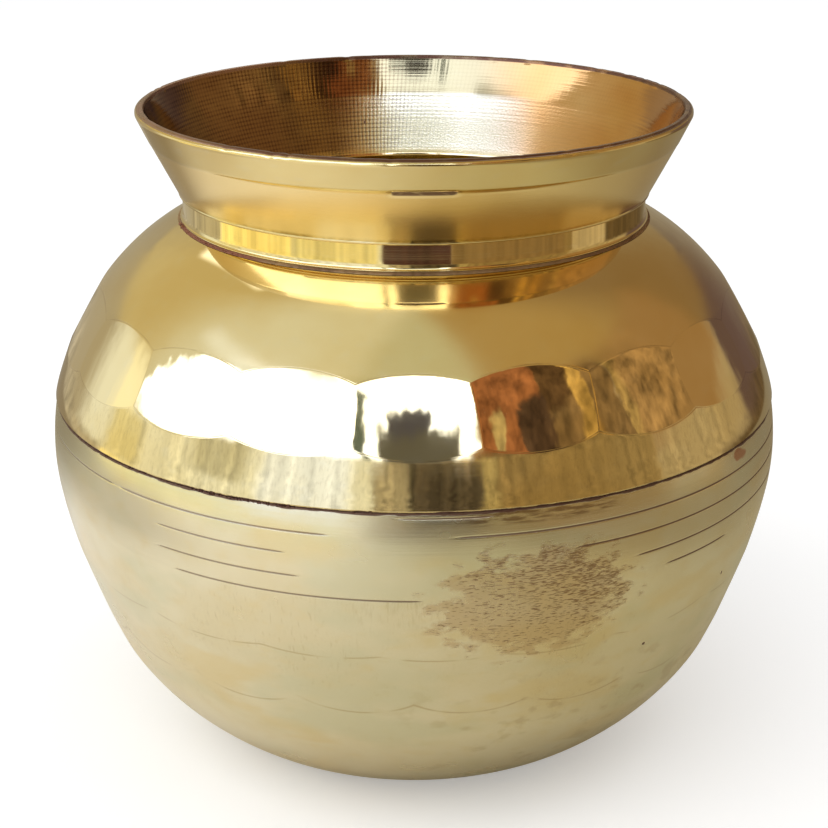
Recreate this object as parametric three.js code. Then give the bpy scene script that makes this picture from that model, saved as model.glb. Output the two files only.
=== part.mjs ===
import * as THREE from 'three';

// Lota: a small round water pot of brass, raised in two shells that are brazed together at the
// belly, with a turned and flared neck brazed on top. Millimetres, +Z up, base centre at origin.

// Whole pot
const HEIGHT = 102;
const BELLY_RADIUS = 57;
const BELLY_HEIGHT = 49.7;
const BASE_RADIUS = 21;
const WALL = 1.2;
const BASE_THICKNESS = 1.6;

// Haunch of the lower shell, where the wall turns from the base up to the belly
const HAUNCH_RADIUS = 48.8;
const HAUNCH_HEIGHT = 19.9;
const HAUNCH_LEAN = THREE.MathUtils.degToRad(66);
const HEEL_REACH = 14.2;
const HAUNCH_REACH_DOWN = 5.6;
const HAUNCH_REACH_UP = 9.6;
const BELLY_REACH_DOWN = 8.5;

// Shoulder of the upper shell, from the belly in to the neck
const NECK_SEAM_RADIUS = 36;
const NECK_SEAM_HEIGHT = 84.8;
const SHOULDER_SLOPE = THREE.MathUtils.degToRad(25.5);
const BELLY_REACH_UP = 15;
const SHOULDER_REACH = 13.7;

// Lap joint at the belly: the upper shell's skirt closes over a tongue on the lower shell
const SEAM_HEIGHT = 57.7;
const SEAM_GAP = 0.3;
const SKIRT_PROUD = 0.25;
const SKIRT_FADE = 6;
const LAP_GAP = 0.5;
const TONGUE_WALL = 0.9;
const TONGUE_TOP = 61.6;
const JOGGLE_START = 54;
const BRAZE_CLEARANCE = 0.05;

// Four engraved rings under the belly seam
const GROOVE_HEIGHTS = [44.9, 47.8, 51.1, 54.2];
const GROOVE_DEPTH = 0.25;
const GROOVE_WIDTH = 0.7;

// One row of planished flats round the upper shell; each is a shallow oval wider than its pitch,
// so that neighbours meet in a ridge
const FLATS = 19;
const FLAT_DEPTH = 0.4;
const FLAT_MIDDLE = 69.35;
const FLAT_HALF_HEIGHT = 5.15;
const FLAT_HALF_WIDTH = 1.48;

// Neck collar
const OPENING_RADIUS = 34.6;
const SPIGOT_RADIUS = 34.3;
const SPIGOT_BORE = 33.2;
const SPIGOT_FOOT = 82.9;
const FOOT_RADIUS = 36;
const FOOT_LIFT = 0.25;
const FOOT_EDGE = 0.15;
const FILLET = 0.3;
const COVE_TOP = 86.1;
const BAND_RADIUS = 35.6;
const BAND_BORE = 34.1;
const BAND_TOP = 88.9;
const BEAD_RADIUS = 36.2;
const BEAD_TOP = 89.3;
const FLARE_RADIUS = 40.25;
const FLARE_TOP = 97.15;
const LIP_STEP = 0.2;
const LIP_STEP_HEIGHT = 0.3;
const LIP_RADIUS = 42.25;
const LIP_SHOULDER = 101.2;
const LIP_WALL = 1.4;
const FLARE_WALL = 1.35;

// Faces round each turned solid: four to a planished flat
const SEGMENTS = FLATS * 4;

const brass = (colour, roughness) =>
  new THREE.MeshStandardMaterial({ color: colour, roughness, metalness: 1 });
const satinBrass = brass(0xd2bb8a, 0.42);
const polishedBrass = brass(0xc9a466, 0.18);
const turnedBrass = brass(0xd0a860, 0.25);
const brazeMetal = brass(0x6e4f2b, 0.6);

const point = (radius, height) => new THREE.Vector2(radius, height);
const along = (angle, reach) => point(Math.cos(angle) * reach, Math.sin(angle) * reach);

// Outline of the pot's outer face, from the rim of the flat base to the neck seam
const baseEdge = point(BASE_RADIUS, 0);
const haunch = point(HAUNCH_RADIUS, HAUNCH_HEIGHT);
const belly = point(BELLY_RADIUS, BELLY_HEIGHT);
const neckSeam = point(NECK_SEAM_RADIUS, NECK_SEAM_HEIGHT);

const heelCurve = new THREE.CubicBezierCurve(
  baseEdge,
  baseEdge.clone().add(point(HEEL_REACH, 0)),
  haunch.clone().sub(along(HAUNCH_LEAN, HAUNCH_REACH_DOWN)),
  haunch,
);
const flankCurve = new THREE.CubicBezierCurve(
  haunch,
  haunch.clone().add(along(HAUNCH_LEAN, HAUNCH_REACH_UP)),
  belly.clone().sub(point(0, BELLY_REACH_DOWN)),
  belly,
);
const shoulderCurve = new THREE.CubicBezierCurve(
  belly,
  belly.clone().add(point(0, BELLY_REACH_UP)),
  neckSeam.clone().sub(along(Math.PI - SHOULDER_SLOPE, SHOULDER_REACH)),
  neckSeam,
);
const outlineCurves = [heelCurve, flankCurve, shoulderCurve];

// Place on the outline at a height; every curve rises all the way, so halving finds it
function placeAt(height) {
  const curve = outlineCurves.find((piece) => height <= piece.v3.y) ?? shoulderCurve;
  let low = 0;
  let high = 1;
  for (let step = 0; step < 40; step += 1) {
    const middle = (low + high) / 2;
    if (curve.getPoint(middle).y < height) low = middle;
    else high = middle;
  }
  return { curve, t: (low + high) / 2 };
}

// Point of the outer face at a height, moved inward along the wall's normal
function wallPoint(height, inward = 0) {
  const { curve, t } = placeAt(height);
  const tangent = curve.getTangent(t);
  const outward = point(tangent.y, -tangent.x);
  return curve.getPoint(t).addScaledVector(outward, -inward);
}

const range = (from, to, steps) =>
  Array.from({ length: steps + 1 }, (_, i) => THREE.MathUtils.lerp(from, to, i / steps));

// Upper shell's face stands proud at the skirt and runs back into the outline above it
const skirtProud = (height) =>
  SKIRT_PROUD * (1 - THREE.MathUtils.smoothstep(height, SEAM_HEIGHT, SEAM_HEIGHT + SKIRT_FADE));
const shoulderFace = (height) => wallPoint(height, -skirtProud(height));
const shoulderInside = (height) => wallPoint(height, WALL);

// The lap is a straight cone inside, so that skirt, filler and tongue lie parallel
const lapLow = shoulderFace(SEAM_HEIGHT).x - WALL;
const lapHigh = shoulderFace(TONGUE_TOP).x - WALL;
const lapCone = (height, inward = 0) =>
  point(THREE.MathUtils.mapLinear(height, SEAM_HEIGHT, TONGUE_TOP, lapLow, lapHigh) - inward, height);

// Turns a closed outline about Z; the outline runs round its section with the metal on its left
function turned(outline) {
  const closed = [...outline];
  if (outline[0].x > 0 || outline.at(-1).x > 0) closed.push(outline[0].clone());
  const solid = new THREE.LatheGeometry(closed, SEGMENTS);
  return solid.rotateX(Math.PI / 2);
}

// V-shaped ring cut: one edge, the root, the other edge
function groove(height) {
  const half = GROOVE_WIDTH / 2;
  return [
    wallPoint(height - half),
    wallPoint(height, GROOVE_DEPTH),
    wallPoint(height + half),
  ];
}

function lowerShell() {
  const heel = [0, 0.12, 0.25, 0.4, 0.55, 0.7, 0.85].map((t) => heelCurve.getPoint(t));
  const flank = range(HAUNCH_HEIGHT, GROOVE_HEIGHTS[0] - 3, 4).map((h) => wallPoint(h));
  const rings = GROOVE_HEIGHTS.flatMap(groove);
  const stepHeight = SEAM_HEIGHT - SEAM_GAP;
  const joint = [
    wallPoint(stepHeight),
    lapCone(stepHeight, LAP_GAP),
    lapCone(TONGUE_TOP, LAP_GAP),
    lapCone(TONGUE_TOP, LAP_GAP + TONGUE_WALL),
    lapCone(stepHeight, LAP_GAP + TONGUE_WALL),
  ];
  const inside = [...range(JOGGLE_START, HAUNCH_HEIGHT, 4), 18, 12, 7.5].map((h) =>
    wallPoint(h, WALL),
  );
  const floor = [point(BASE_RADIUS + 4, BASE_THICKNESS + 0.3), point(BASE_RADIUS - 3, BASE_THICKNESS)];
  return turned([
    point(0, 0),
    ...heel,
    ...flank,
    ...rings,
    ...joint,
    ...inside,
    ...floor,
    point(0, BASE_THICKNESS),
  ]);
}

function upperShell() {
  const rise = Math.tan(SHOULDER_SLOPE) * (NECK_SEAM_RADIUS - OPENING_RADIUS);
  const edgeTop = point(OPENING_RADIUS, NECK_SEAM_HEIGHT + rise);
  const edgeBottom = point(OPENING_RADIUS, edgeTop.y - WALL / Math.cos(SHOULDER_SLOPE));
  const flatFoot = FLAT_MIDDLE - FLAT_HALF_HEIGHT;
  const flatTop = FLAT_MIDDLE + FLAT_HALF_HEIGHT;
  const face = [
    ...range(SEAM_HEIGHT, flatFoot, 2),
    ...range(flatFoot + 0.8, flatTop - 0.8, 4),
    ...range(flatTop, NECK_SEAM_HEIGHT, 4),
  ].map(shoulderFace);
  const inside = [84, 82, 78, 73, 67].map(shoulderInside);
  const lap = [TONGUE_TOP, SEAM_HEIGHT].map((h) => lapCone(h));
  return planished(turned([...face, edgeTop, edgeBottom, ...inside, ...lap]));
}

// Flattens the outer face in a row of shallow ovals, with the middle of one at the front, -Y;
// the ridges between them stand higher
function planished(solid) {
  const places = solid.attributes.position;
  for (let i = 0; i < places.count; i += 1) {
    const radius = Math.hypot(places.getX(i), places.getY(i));
    const height = places.getZ(i);
    const isFace = height < NECK_SEAM_HEIGHT && radius > shoulderFace(height).x - WALL / 2;
    if (isFace) {
      const turn = Math.atan2(places.getX(i), -places.getY(i)) / (2 * Math.PI);
      const pitch = THREE.MathUtils.euclideanModulo(turn * FLATS + 0.5, 1);
      const across = (2 * pitch - 1) / FLAT_HALF_WIDTH;
      const rise = (height - FLAT_MIDDLE) / FLAT_HALF_HEIGHT;
      const depth = FLAT_DEPTH * Math.max(0, 1 - across ** 2 - rise ** 2);
      const scale = 1 - depth / radius;
      places.setXY(i, places.getX(i) * scale, places.getY(i) * scale);
    }
  }
  return solid;
}

// Height of the shoulder's face, carried on in a straight slope under the collar's foot
const seatHeight = (radius, lift = 0) =>
  NECK_SEAM_HEIGHT + (NECK_SEAM_RADIUS - radius) * Math.tan(SHOULDER_SLOPE) + lift;
const seat = (radius, lift) => point(radius, seatHeight(radius, lift));

function neckCollar() {
  const footEdge = seat(FOOT_RADIUS, FOOT_LIFT);
  const cove = new THREE.QuadraticBezierCurve(
    point(FOOT_RADIUS, footEdge.y + FOOT_EDGE),
    point(BAND_RADIUS, footEdge.y + FOOT_EDGE),
    point(BAND_RADIUS, COVE_TOP),
  );
  const foot = [
    point(SPIGOT_BORE, SPIGOT_FOOT),
    point(SPIGOT_RADIUS, SPIGOT_FOOT),
    seat(SPIGOT_RADIUS, FOOT_LIFT),
    footEdge,
    ...cove.getPoints(3),
  ];
  const band = [
    point(BAND_RADIUS, BAND_TOP - 0.1),
    point(BEAD_RADIUS - 0.1, BAND_TOP + 0.1),
    point(BEAD_RADIUS, BEAD_TOP),
  ];
  const lip = [
    point(FLARE_RADIUS, FLARE_TOP),
    point(FLARE_RADIUS + LIP_STEP, FLARE_TOP + LIP_STEP_HEIGHT),
    point(LIP_RADIUS, LIP_SHOULDER),
    point(LIP_RADIUS - 0.25, HEIGHT - 0.2),
    point(LIP_RADIUS - 0.6, HEIGHT),
    point(LIP_RADIUS - LIP_WALL + 0.3, HEIGHT),
    point(LIP_RADIUS - LIP_WALL, HEIGHT - 0.3),
  ];
  const throat = [
    point(FLARE_RADIUS - FLARE_WALL, FLARE_TOP),
    point(BEAD_RADIUS - FLARE_WALL, BEAD_TOP),
    point(BAND_BORE, COVE_TOP),
    point(SPIGOT_BORE + 0.2, SPIGOT_FOOT + 2),
  ];
  return turned([...foot, ...band, ...lip, ...throat]);
}

// Ring of filler in the lap, with a lip that fills the seam below the skirt's edge
function bellyBraze() {
  const low = SEAM_HEIGHT - SEAM_GAP + BRAZE_CLEARANCE;
  const high = TONGUE_TOP - SEAM_GAP;
  const lipTop = SEAM_HEIGHT - BRAZE_CLEARANCE;
  const lipRadius = wallPoint(SEAM_HEIGHT).x - BRAZE_CLEARANCE;
  return turned([
    lapCone(low, LAP_GAP - BRAZE_CLEARANCE),
    point(lipRadius, low),
    point(lipRadius, lipTop),
    lapCone(lipTop, BRAZE_CLEARANCE),
    lapCone(high, BRAZE_CLEARANCE),
    lapCone(high, LAP_GAP - BRAZE_CLEARANCE),
  ]);
}

// Thin filler between the collar's foot and the shoulder, with a small fillet outside
function neckBraze() {
  const under = BRAZE_CLEARANCE;
  const over = FOOT_LIFT - BRAZE_CLEARANCE;
  return turned([
    seat(OPENING_RADIUS + 0.1, under),
    seat(FOOT_RADIUS + FILLET, under),
    seat(FOOT_RADIUS + FILLET / 2, over),
    seat(FOOT_RADIUS - 0.05, over),
    seat(OPENING_RADIUS + 0.1, over),
  ]);
}

function piece(name, geometry, material) {
  const mesh = new THREE.Mesh(geometry, material);
  mesh.name = name;
  return mesh;
}

const lota = new THREE.Group();
lota.add(
  piece('lower_shell', lowerShell(), satinBrass),
  piece('upper_shell', upperShell(), polishedBrass),
  piece('neck_collar', neckCollar(), turnedBrass),
  piece('belly_braze', bellyBraze(), brazeMetal),
  piece('neck_braze', neckBraze(), brazeMetal),
);

export default lota;
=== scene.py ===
import math
import random

import bpy
import numpy as np
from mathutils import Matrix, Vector, noise


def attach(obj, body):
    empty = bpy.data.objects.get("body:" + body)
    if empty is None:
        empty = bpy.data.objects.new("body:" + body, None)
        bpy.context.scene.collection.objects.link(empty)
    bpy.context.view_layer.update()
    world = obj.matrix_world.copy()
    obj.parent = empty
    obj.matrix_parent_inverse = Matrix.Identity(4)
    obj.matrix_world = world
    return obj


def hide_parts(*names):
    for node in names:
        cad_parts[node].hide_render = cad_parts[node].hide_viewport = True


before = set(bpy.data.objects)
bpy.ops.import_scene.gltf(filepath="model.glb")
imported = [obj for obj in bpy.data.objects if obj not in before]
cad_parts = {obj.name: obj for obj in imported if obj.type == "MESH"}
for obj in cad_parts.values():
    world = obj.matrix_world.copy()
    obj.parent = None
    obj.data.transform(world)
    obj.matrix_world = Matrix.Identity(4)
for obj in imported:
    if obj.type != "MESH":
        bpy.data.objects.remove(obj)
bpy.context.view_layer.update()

# Outline of the pot, in millimetres, as the solids have it
MM = 0.001
BASE_RADIUS = 21
HAUNCH = (48.8, 19.9)
HAUNCH_LEAN = math.radians(66)
BELLY = (57, 49.7)
NECK_SEAM = (36, 84.8)
SHOULDER_SLOPE = math.radians(25.5)
WALL = 1.2
BASE_THICKNESS = 1.6
SEAM_HEIGHT = 57.7
SEAM_GAP = 0.3
SKIRT_PROUD = 0.25
SKIRT_FADE = 6
LAP_GAP = 0.5
TONGUE_WALL = 0.9
TONGUE_TOP = 61.6
OPENING_RADIUS = 34.6
SPIGOT_BORE = 33.2
SPIGOT_RADIUS = 34.3
SPIGOT_FOOT = 82.9
FOOT_RADIUS = 36
FOOT_LIFT = 0.25
BAND_RADIUS = 35.6
BAND_FOOT = 86.1
BEAD = (36.2, 89.3)
FLARE_TOP = (40.25, 97.15)
FLARE_PER_MM = (FLARE_TOP[0] - BEAD[0]) / (FLARE_TOP[1] - BEAD[1])
LIP_FOOT = (40.45, 97.45)
LIP_TOP = 102
LIP_INNER = (40.88, 101.6)
INNER_STEP = (38.6, 95.85)
THROAT = (33.24, 86.46)

# Engraved rings under the belly seam: height, and the arcs where buffing has left them, in
# degrees from the front, growing to the right
RING_WIDTH = 0.34
RING_DEPTH = 0.08
RINGS = (
    (54.2, ((5, 312), (312, 349))),
    (51.1, ((22, 250), (320, 343))),
    (47.8, ((32, 262), (320, 345))),
    (44.9, ((38, 54), (84, 236), (323, 362))),
)
SEAM_SCRATCH = 56.85
LIP_SCRATCH = 99.4

# Rows of hammer flats: middle height, half height, half width over the pitch, depth, degrees that
# the row is turned by, name of the row
FLATS = 19
SHOULDER_FLATS = (69.35, 5.15, 1.48, 0.32, 0.0, "flat")
BOWL_FLATS = ((39.7, 5.2, 1.9, 0.07, 4.0, "upper_row"), (30.0, 5.6, 1.3, 0.1, 9.0, "lower_row"))

# Crust along the seams: arc in degrees from the front, grains, least and most size, spread, seed
NECK_CRUST = (
    ((-72, -40), 110, (0.1, 0.34), 0.12, 11),
    ((-76, -73), 7, (0.5, 0.8), 0.12, 12),
    ((0, 360), 200, (0.04, 0.14), 0.06, 13),
    ((150, 215), 80, (0.1, 0.3), 0.1, 14),
)
BELLY_CRUST_HEIGHT = 57.5
BELLY_CRUST = (
    ((-33, -16), 150, (0.1, 0.4), 0.16, 21),
    ((-62, -33), 110, (0.07, 0.22), 0.08, 22),
    ((-8.5, -5.5), 16, (0.12, 0.36), 0.12, 23),
    ((-16, 60), 240, (0.04, 0.13), 0.07, 24),
    ((60, 298), 450, (0.05, 0.18), 0.1, 25),
    ((150, 178), 130, (0.1, 0.36), 0.16, 26),
)


def smoothstep(low, high, value):
    t = np.clip((value - low) / (high - low), 0, 1)
    return t * t * (3 - 2 * t)


def bezier(start, leave, arrive, end, count=400):
    t = np.linspace(0, 1, count)[:, None]
    a, b, c, d = (np.array(p, float) for p in (start, leave, arrive, end))
    return a * (1 - t) ** 3 + 3 * b * t * (1 - t) ** 2 + 3 * c * t**2 * (1 - t) + d * t**3


def off(place, angle, reach):
    return (place[0] + math.cos(angle) * reach, place[1] + math.sin(angle) * reach)


def pot_outline():
    """Outer face from the rim of the flat base to the neck seam, as close points."""
    base_edge = (BASE_RADIUS, 0)
    heel = bezier(base_edge, off(base_edge, 0, 14.2), off(HAUNCH, HAUNCH_LEAN, -5.6), HAUNCH)
    flank = bezier(HAUNCH, off(HAUNCH, HAUNCH_LEAN, 9.6), (BELLY[0], BELLY[1] - 8.5), BELLY)
    arrive = off(NECK_SEAM, math.pi - SHOULDER_SLOPE, -13.7)
    shoulder = bezier(BELLY, (BELLY[0], BELLY[1] + 15), arrive, NECK_SEAM)
    return np.vstack([heel, flank[1:], shoulder[1:]])


OUTLINE = pot_outline()


def wall_radius(height):
    return np.interp(height, OUTLINE[:, 1], OUTLINE[:, 0])


def wall_normal(height):
    lower = wall_radius(height - 0.2)
    upper = wall_radius(height + 0.2)
    normal = np.stack([np.full_like(lower, 0.4), lower - upper], axis=-1)
    return normal / np.linalg.norm(normal, axis=-1, keepdims=True)


def wall_points(heights, inward=0.0):
    heights = np.asarray(heights, float)
    face = np.stack([wall_radius(heights), heights], axis=-1)
    return face - wall_normal(heights) * inward


def skirt_proud(heights):
    return SKIRT_PROUD * (1 - smoothstep(SEAM_HEIGHT, SEAM_HEIGHT + SKIRT_FADE, heights))


LAP_LOW = wall_radius(SEAM_HEIGHT) + SKIRT_PROUD - WALL
LAP_HIGH = wall_radius(TONGUE_TOP) + skirt_proud(np.array(TONGUE_TOP)) - WALL


def seat(radius, lift=0.0):
    """Point above the shoulder's slope, carried on under the collar's foot."""
    return (radius, NECK_SEAM[1] + (NECK_SEAM[0] - radius) * math.tan(SHOULDER_SLOPE) + lift)


def even_turn(around):
    return np.linspace(0, 2 * math.pi, around, endpoint=False)


def ridge_turn(per_flat):
    """Angles all round, closer together near the ridges between the flats."""
    step = np.arange(FLATS * per_flat) / per_flat
    return (step + 0.5 - 0.11 * np.sin(2 * math.pi * step)) * 2 * math.pi / FLATS


def placed(name, data):
    """New object in the scene."""
    made = bpy.data.objects.new(name, data)
    bpy.context.scene.collection.objects.link(made)
    return made


def spun(name, outline, turn, relief=None):
    """Solid turned about Z from an outline in millimetres, with a column of points at each angle
    in turn. relief gives, for each point of the outline and each angle, how far the face is moved
    along its normal. An outline that starts and ends on the axis gets closed poles, and any other
    one is joined end to end. The attribute outside is 1 on the outer face."""
    outline = np.asarray(outline, float)
    has_poles = outline[0, 0] == 0 and outline[-1, 0] == 0
    ring = outline[1:-1] if has_poles else outline
    around = len(turn)
    radius = np.repeat(ring[:, :1], around, axis=1)
    height = np.repeat(ring[:, 1:], around, axis=1)
    step = np.roll(ring, -1, axis=0) - np.roll(ring, 1, axis=0)
    if has_poles:
        step[0], step[-1] = ring[1] - ring[0], ring[-1] - ring[-2]
    normal = np.stack([step[:, 1], -step[:, 0]], axis=1) / np.linalg.norm(step, axis=1, keepdims=True)
    if relief is not None:
        move = relief(ring, turn)
        radius = radius + normal[:, :1] * move
        height = height + normal[:, 1:] * move
    # Angle 0 is the front, -Y, and it grows towards the right, +X
    x, y = radius * np.sin(turn), -radius * np.cos(turn)
    points = (np.stack([x, y, height], axis=-1).reshape(-1, 3) * MM).tolist()
    rows = len(ring)
    lower = np.arange(rows - 1 if has_poles else rows)[:, None] * around
    upper = (lower + around) % (rows * around)
    here = np.arange(around)
    there = (here + 1) % around
    quads = np.stack([lower + here, lower + there, upper + there, upper + here], axis=-1)
    faces = quads.reshape(-1, 4).tolist()
    outside = np.repeat((normal[:, 0] > 0.05).astype(float), around).tolist()
    if has_poles:
        first, last = len(points), len(points) + 1
        points += [[0, 0, outline[0, 1] * MM], [0, 0, outline[-1, 1] * MM]]
        outside += [0.0, 0.0]
        top = (rows - 1) * around
        faces += [[first, int(b), int(a)] for a, b in zip(here, there)]
        faces += [[last, int(top + a), int(top + b)] for a, b in zip(here, there)]
    mesh = bpy.data.meshes.new(name)
    mesh.from_pydata(points, [], faces)
    mesh.polygons.foreach_set("use_smooth", [True] * len(mesh.polygons))
    mesh.set_sharp_from_angle(angle=math.radians(40))
    mesh.attributes.new("outside", "FLOAT", "POINT").data.foreach_set("value", outside)
    return placed(name, mesh)


def soft_noise(ring, turn, scale, seed):
    """Smooth noise on the outline's points and angles, about -1 to 1. scale is in millimetres. It
    is worked out at 120 angles and filled in between."""
    angles = np.linspace(0, 2 * math.pi, 121)
    made = []
    for radius, height in ring:
        coarse = [
            noise.noise(Vector((
                radius * math.sin(angle) / scale + seed, -radius * math.cos(angle) / scale, height / scale,
            )))
            for angle in angles
        ]
        made.append(np.interp(turn % (2 * math.pi), angles, coarse))
    return np.array(made)


# Nodes


class Value:
    """What a socket gives. Sums, differences, products and quotients are worked out by new nodes."""

    def __init__(self, tree, socket):
        self.tree, self.socket = tree, socket

    def __add__(self, other):
        return calc("ADD", self, other)

    def __sub__(self, other):
        return calc("SUBTRACT", self, other)

    def __rsub__(self, other):
        return calc("SUBTRACT", other, self)

    def __mul__(self, other):
        return calc("MULTIPLY", self, other)

    def __truediv__(self, other):
        return calc("DIVIDE", self, other)

    __radd__ = __add__


def put(tree, kind, sockets=None, **settings):
    """New node, with values or numbers for its inputs, by name or number, and its settings."""
    node = tree.nodes.new(kind)
    for name, setting in settings.items():
        setattr(node, name, setting)
    for key, value in (sockets or {}).items():
        if isinstance(value, Value):
            tree.links.new(value.socket, node.inputs[key])
        else:
            node.inputs[key].default_value = value
    return node


def result(tree, kind, sockets=None, output=0, **settings):
    """One output of a new node."""
    return Value(tree, put(tree, kind, sockets, **settings).outputs[output])


def results(tree, kind, sockets=None, **settings):
    """All outputs of a new node."""
    return [Value(tree, socket) for socket in put(tree, kind, sockets, **settings).outputs]


def calc(operation, *values):
    tree = next(value.tree for value in values if isinstance(value, Value))
    return result(tree, "ShaderNodeMath", dict(enumerate(values)), operation=operation)


def largest(first, *others):
    for other in others:
        first = calc("MAXIMUM", first, other)
    return first


def vector_calc(operation, first, second):
    """Works on two vectors, or for SCALE on a vector and a number."""
    sockets = {0: first, 3 if operation == "SCALE" else 1: second}
    return result(first.tree, "ShaderNodeVectorMath", sockets, operation=operation)


def split(vector):
    return results(vector.tree, "ShaderNodeSeparateXYZ", {0: vector})


def joined(x, y, z):
    return result(x.tree, "ShaderNodeCombineXYZ", {0: x, 1: y, 2: z})


def bearing(x, y):
    """Degrees from the front, growing to the right."""
    return calc("DEGREES", calc("ARCTAN2", x, y * -1.0))


def length(x, y):
    return calc("SQRT", x * x + y * y)


def remap(value, low, high, to_low=0.0, to_high=1.0):
    """Smooth change from to_low to to_high while the value goes from low to high."""
    sockets = {"Value": value, "From Min": low, "From Max": high, "To Min": to_low, "To Max": to_high}
    return result(value.tree, "ShaderNodeMapRange", sockets, interpolation_type="SMOOTHSTEP")


def between(value, low, high, soft):
    """1 while the value is between low and high, with soft edges."""
    return remap(value, low - soft, low + soft) * remap(value, high - soft, high + soft, 1.0, 0.0)


def blend(factor, first, second):
    sockets = {0: factor, 6: first, 7: second}
    return result(factor.tree, "ShaderNodeMix", sockets, output=2, data_type="RGBA")


def texture(place, output="Fac", **sockets):
    return result(place.tree, "ShaderNodeTexNoise", {"Vector": place, **sockets}, output=output)


def shake(place, fineness, reach, detail):
    """Small random shift of each point."""
    rough = texture(place, "Color", Scale=fineness, Detail=detail)
    return vector_calc("SCALE", vector_calc("SUBTRACT", rough, (0.5, 0.5, 0.5)), reach)


def floats(*labels):
    return dict.fromkeys(labels, "Float")


def new_tree(kind, name, inputs, outputs):
    """Node tree with named inputs and outputs. Gives it, its inputs, and a function that sends a
    value to an output."""
    tree = bpy.data.node_groups.new(name, kind)
    for direction, sockets in (("INPUT", inputs), ("OUTPUT", outputs)):
        for label, socket in sockets.items():
            tree.interface.new_socket(label, in_out=direction, socket_type="NodeSocket" + socket)
    taken = tree.nodes.new("NodeGroupInput").outputs
    sent = tree.nodes.new("NodeGroupOutput").inputs

    def send(label, value):
        tree.links.new(value.socket, sent[label])

    return tree, {label: Value(tree, taken[label]) for label in inputs}, send


def new_effect(name, inputs, outputs):
    return new_tree("ShaderNodeTree", name, inputs, outputs)


# Rules, which Geometry Nodes work out on a turned solid


def new_rule(name, inputs):
    inputs = {"Geometry": "Geometry", "Metal": "Material", **inputs}
    return new_tree("GeometryNodeTree", name, inputs, {"Geometry": "Geometry"})


def polar(tree):
    """Turn in degrees from the front, and height in millimetres, of each point."""
    x, y, z = split(result(tree, "GeometryNodeInputPosition"))
    return bearing(x, y), z / MM


def attribute(tree, name):
    return result(tree, "GeometryNodeInputNamedAttribute", {"Name": name}, data_type="FLOAT")


def pressed(geometry, depth):
    """Moves the outer face in along its normal by a depth in millimetres."""
    tree = geometry.tree
    offset = vector_calc("SCALE", result(tree, "GeometryNodeInputNormal"), depth * -MM)
    chosen = calc("GREATER_THAN", attribute(tree, "outside"), 0.5)
    sockets = {"Geometry": geometry, "Selection": chosen, "Offset": offset}
    return result(tree, "GeometryNodeSetPosition", sockets)


def realized(geometry):
    return result(geometry.tree, "GeometryNodeRealizeInstances", {0: geometry})


def finish_rule(geometry, metal, send):
    """Every rule ends with real meshes in one metal."""
    sockets = {"Geometry": realized(geometry), "Material": metal}
    send("Geometry", result(geometry.tree, "GeometryNodeSetMaterial", sockets))


def kept(geometry, name, value):
    """Keeps a value on each point under a name, for the material."""
    sockets = {"Geometry": geometry, "Name": name, "Value": value}
    return result(geometry.tree, "GeometryNodeStoreNamedAttribute", sockets, data_type="FLOAT")


def chance(seed, salt, low, high, who=None):
    """Random number between low and high, for each point or for whoever is named."""
    sockets = {2: low, 3: high, 8: seed + float(salt)}
    if who is not None:
        sockets[7] = who
    return result(seed.tree, "FunctionNodeRandomValue", sockets, output=1, data_type="FLOAT")


def hammer_rule():
    """One row of shallow oval hammer flats pressed into a turned face. The value kept under Mark
    is above 0 inside a flat and 0 on its edge."""
    inputs = {"Flats": "Int", "Seed": "Int", "Mark": "String"}
    inputs.update(floats("Middle", "Half Height", "Half Width", "Depth", "Turned By"))
    tree, given, send = new_rule("hammer_row", inputs)
    flats, seed = given["Flats"], given["Seed"]
    turn, level = polar(tree)
    pitch = (turn - given["Turned By"]) * flats * (1 / 360) + 0.5
    cell = calc("FLOOR", pitch)
    depths = []
    for neighbour in (-1.0, 0.0, 1.0):
        index = cell + neighbour
        who = calc("FLOORED_MODULO", index, flats)
        centre = index + 0.5 + chance(seed, 1, -0.045, 0.045, who)
        middle = given["Middle"] + chance(seed, 2, -0.35, 0.35, who)
        across = (pitch - centre) * 2.0 / given["Half Width"]
        rise = (level - middle) / given["Half Height"]
        force = 1.0 + chance(seed, 3, -0.2, 0.2, who)
        depths.append((1.0 - (across * across + rise * rise)) * force)
    deepest = largest(*depths)
    marked = kept(given["Geometry"], given["Mark"], deepest)
    depth = largest(deepest, 0.0) * given["Depth"]
    finish_rule(pressed(marked, depth), given["Metal"], send)
    return tree


def ring_rule():
    """One arc of a turned ring cut, with ends that run out. The attribute cut is 1 at its root."""
    tree, given, send = new_rule("ring_cut", floats("Height", "Width", "Depth", "From", "To", "Run Out"))
    turn, level = polar(tree)
    since = calc("FLOORED_MODULO", turn - given["From"], 360.0)
    left = given["To"] - given["From"] - since
    arc = remap(since, 0.0, given["Run Out"]) * remap(left, 0.0, given["Run Out"])
    away = calc("ABSOLUTE", level - given["Height"])
    slope = 1.0 - away * 2.0 / given["Width"]
    cut = largest(slope, 0.0) * arc * attribute(tree, "outside")
    marked = kept(given["Geometry"], "cut", largest(attribute(tree, "cut"), cut))
    finish_rule(pressed(marked, cut * given["Depth"]), given["Metal"], send)
    return tree


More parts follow.
